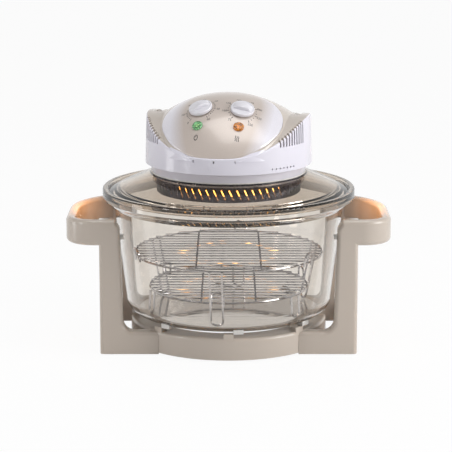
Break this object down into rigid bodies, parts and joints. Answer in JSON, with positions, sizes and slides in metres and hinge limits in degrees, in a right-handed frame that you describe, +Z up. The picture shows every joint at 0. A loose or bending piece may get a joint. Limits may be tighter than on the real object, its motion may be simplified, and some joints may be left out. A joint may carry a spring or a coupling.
{
  "type": "halogen oven",
  "caption": "Countertop halogen oven: glass bowl in a two-handled stand, wire racks and a lift-off glass lid with a domed power head, two dials and folding handle.",
  "frame": {"origin": "on the table under the middle of the stand", "axes": "+Z up, front of the oven towards -Y, +X to the right seen from the front"},
  "size_m": [0.43, 0.34, 0.3368],
  "materials": {
    "white_plastic": "glossy white moulding",
    "ivory_plastic": "glossy ivory moulding",
    "grey_plastic": "pale grey moulding",
    "panel_paint": "pearl champagne lacquer",
    "knob_plastic": "glossy white",
    "green_lens": "tinted lens",
    "amber_lens": "tinted lens",
    "lamp_glass": "lamp glass",
    "bowl_glass": "clear tempered glass",
    "chrome_wire": "chromed wire",
    "steel": "plain steel",
    "guard_steel": "dark grey perforated steel",
    "bright_sheet": "bright sheet",
    "black_plastic": "black moulding",
    "copper_coil": "enamelled copper winding",
    "ceramic": "steatite",
    "rubber": "soft rubber",
    "silicone": "translucent silicone"
  },
  "bodies": {
    "stand": {"base_ring": "ivory_plastic", "bowl_pads": "silicone", "left_arm": "ivory_plastic", "right_arm": "ivory_plastic", "arm_screws": "steel", "rubber_feet": "rubber", "bowl_bumpers": "silicone"},
    "bowl": {"glass_bowl": "bowl_glass"},
    "high_rack": {"high_rack": "chrome_wire", "high_rack_legs": "chrome_wire"},
    "low_rack": {"low_rack": "chrome_wire", "low_rack_legs": "chrome_wire"},
    "lid": {"glass_lid": "bowl_glass", "lid_gasket": "silicone", "lid_clamp_ring": "steel", "lower_housing": "grey_plastic", "upper_housing": "white_plastic", "control_panel": "panel_paint", "timer_unit": "black_plastic", "thermostat_unit": "black_plastic", "power_lamp_lens": "green_lens", "heat_lamp_lens": "amber_lens", "indicator_bulbs": "lamp_glass", "micro_switch": "black_plastic", "motor_stator": "steel", "motor_coil": "copper_coil", "motor_bearings": "steel", "halogen_lamp": "lamp_glass", "lamp_holders": "ceramic", "reflector": "bright_sheet", "heat_shield": "bright_sheet", "mesh_guard": "guard_steel", "guard_screws": "steel", "thermal_cutout": "bright_sheet", "thermostat_sensor": "bright_sheet", "terminal_block": "black_plastic", "cord_grommet": "rubber", "handle_pins": "steel", "housing_screws": "steel"},
    "rotor": {"motor_shaft": "steel", "hot_air_fan": "bright_sheet", "cooling_fan": "black_plastic", "motor_rotor": "steel"},
    "handle": {"handle": "grey_plastic"},
    "switch_plunger": {"switch_plunger": "black_plastic"},
    "timer_knob": {"timer_knob": "knob_plastic"},
    "thermostat_knob": {"thermostat_knob": "knob_plastic"}
  },
  "joints": [
    {"name": "bowl_lift", "type": "slide", "parent": "stand", "child": "bowl", "axis": [0, 0, 1], "range_m": [0, 0.2]},
    {"name": "high_rack_lift", "type": "slide", "parent": "bowl", "child": "high_rack", "axis": [0, 0, 1], "range_m": [0, 0.05]},
    {"name": "low_rack_lift", "type": "slide", "parent": "bowl", "child": "low_rack", "axis": [0, 0, 1], "range_m": [0, 0.025]},
    {"name": "lid_lift", "type": "slide", "parent": "bowl", "child": "lid", "axis": [0, 0, 1], "range_m": [0, 0.25]},
    {"name": "handle_fold", "type": "hinge", "parent": "lid", "child": "handle", "pos_m": [0, 0, 0.298], "axis": [0.9848, -0.1736, 0], "range_deg": [0, 90]},
    {"name": "plunger_slide", "type": "slide", "parent": "lid", "child": "switch_plunger", "axis": [0, 0, 1], "range_m": [0, 0.0021]},
    {"name": "timer_turn", "type": "hinge", "parent": "lid", "child": "timer_knob", "pos_m": [-0.03654, -0.04749, 0.32235], "axis": [0.2468, 0.4045, -0.8806], "range_deg": [0, 300]},
    {"name": "thermostat_turn", "type": "hinge", "parent": "lid", "child": "thermostat_knob", "pos_m": [0.0181, -0.05713, 0.32235], "axis": [-0.0936, 0.4645, -0.8806], "range_deg": [0, 270]},
    {"name": "fan_spin", "type": "hinge", "parent": "lid", "child": "rotor", "pos_m": [0, 0, 0.26], "axis": [0, 0, 1], "continuous": true}
  ],
  "couplings": [
    {"joint": "plunger_slide", "follows": "handle_fold", "m_per_rad": 0.001273}
  ]
}
